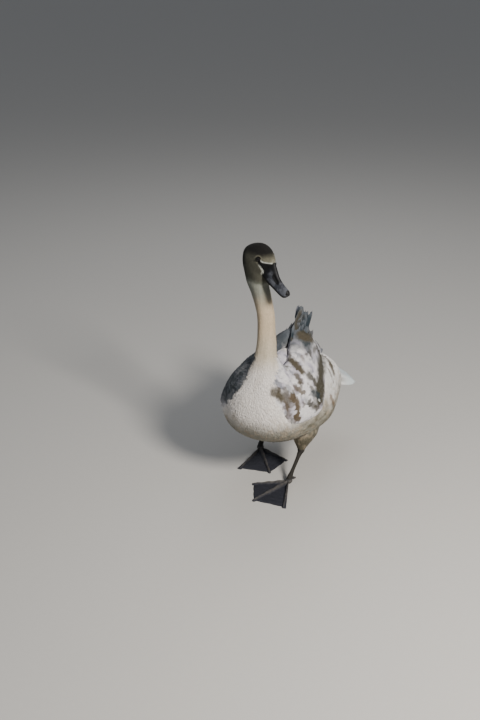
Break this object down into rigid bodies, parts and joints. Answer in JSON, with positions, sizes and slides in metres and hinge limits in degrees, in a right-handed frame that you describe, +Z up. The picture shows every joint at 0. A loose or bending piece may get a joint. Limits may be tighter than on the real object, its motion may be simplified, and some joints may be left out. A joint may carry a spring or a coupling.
{
  "type": "first-winter mute swan model",
  "caption": "Life-size model of a young mute swan in first-winter plumage, walking with its neck up and its head turned and lowered to its left.",
  "frame": {"origin": "middle of the footprint's bounding box, on the ground under the soles", "axes": "+Z up; the bird's body faces -Y, its left side is +X, and its tail points to +Y"},
  "size_m": [0.2898, 0.5858, 0.7511],
  "materials": {
    "plumage": "soft feathers, matte",
    "flight_feathers": "smooth feather vanes, slight sheen",
    "bill_horn": "horn, satin",
    "bill_nail": "horn, semi-gloss",
    "eye": "wet gloss",
    "foot_skin": "scaly skin, matte",
    "claw": "horn, semi-gloss"
  },
  "bodies": {
    "root": {"trunk": "plumage", "neck_lower": "plumage", "neck_middle": "plumage", "neck_upper": "plumage", "head": "plumage", "wing_left": "plumage", "wing_right": "plumage", "tertials_left": "flight_feathers", "tertials_right": "flight_feathers", "primaries_left": "flight_feathers", "primaries_right": "flight_feathers", "tail": "flight_feathers", "bill_upper": "bill_horn", "bill_lower": "bill_horn", "bill_nail": "bill_nail", "eye_left": "eye", "eye_right": "eye", "thigh_left": "plumage", "thigh_right": "plumage", "foot_left": "foot_skin", "shank_left": "foot_skin", "hind_toe_left": "foot_skin", "claw_outer_left": "claw", "claw_middle_left": "claw", "claw_inner_left": "claw", "foot_right": "foot_skin", "shank_right": "foot_skin", "hind_toe_right": "foot_skin", "claw_outer_right": "claw", "claw_middle_right": "claw", "claw_inner_right": "claw"}
  },
  "joints": []
}
